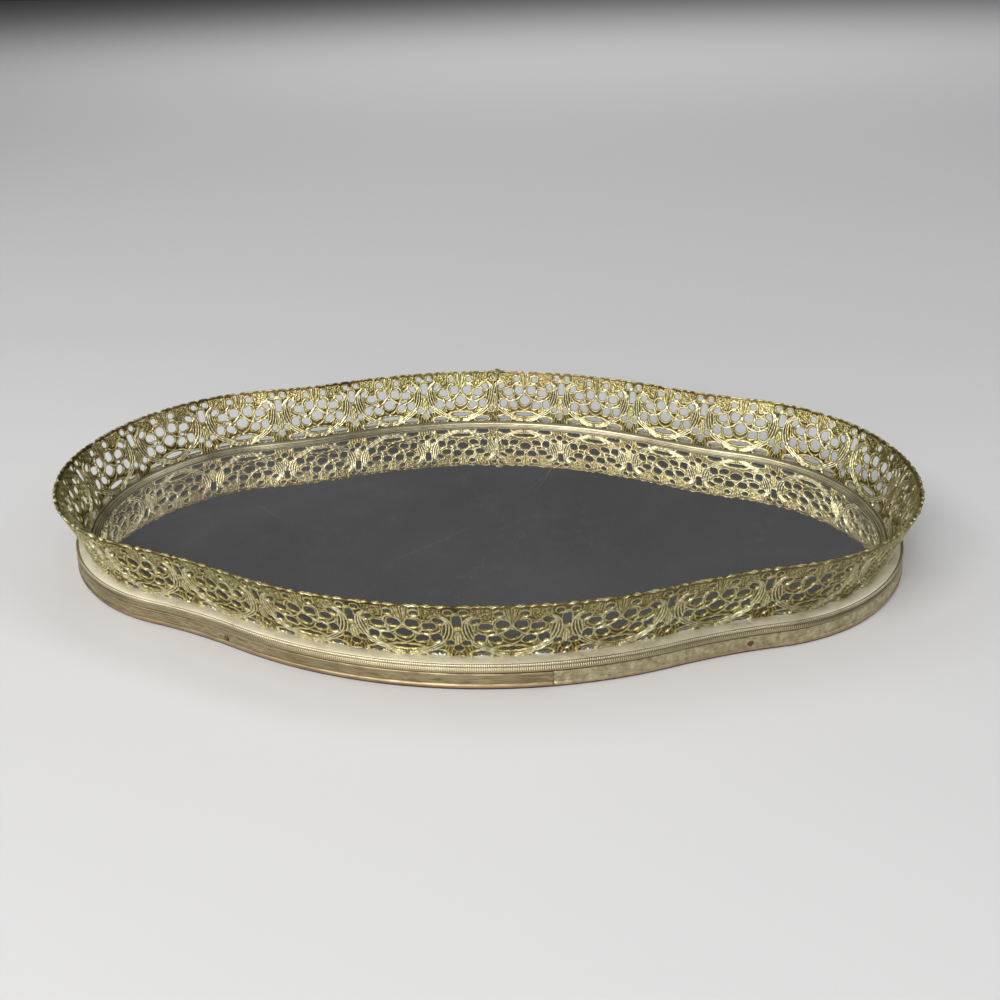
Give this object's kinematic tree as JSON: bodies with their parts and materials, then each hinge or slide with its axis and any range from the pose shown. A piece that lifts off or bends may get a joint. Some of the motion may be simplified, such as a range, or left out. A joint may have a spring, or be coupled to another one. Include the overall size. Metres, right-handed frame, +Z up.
{
  "type": "mirror vanity tray",
  "caption": "Bulged oval mirror tray with hollow waists, a moulded brass rim and a flared openwork brass gallery, for standing perfume bottles on a dresser.",
  "frame": {"origin": "middle of the underside, on the surface that the tray stands on", "axes": "+X along the tray's length, +Z up, -Y towards the front"},
  "size_m": [0.4572, 0.2829, 0.0473],
  "materials": {
    "felt": "thin dark red-brown felt",
    "hardboard": "brown pressed hardboard",
    "card": "grey-buff card",
    "mirror": "silvered glass with light haze and scratches",
    "skirt_brass": "aged brass, browned and worn",
    "moulding_brass": "pale worn brass",
    "gallery_brass": "antiqued yellow-green gilt brass with dark recesses",
    "solder": "dull grey tin solder",
    "steel": "rusty steel"
  },
  "bodies": {
    "root": {"base_felt": "felt", "base_board": "hardboard", "backing_card": "card", "mirror_plate": "mirror", "skirt_band": "skirt_brass", "top_moulding": "moulding_brass", "inner_bezel": "moulding_brass", "gallery_strip": "gallery_brass", "gallery_solder": "solder", "seam_solder": "solder", "brads": "steel"}
  },
  "joints": []
}
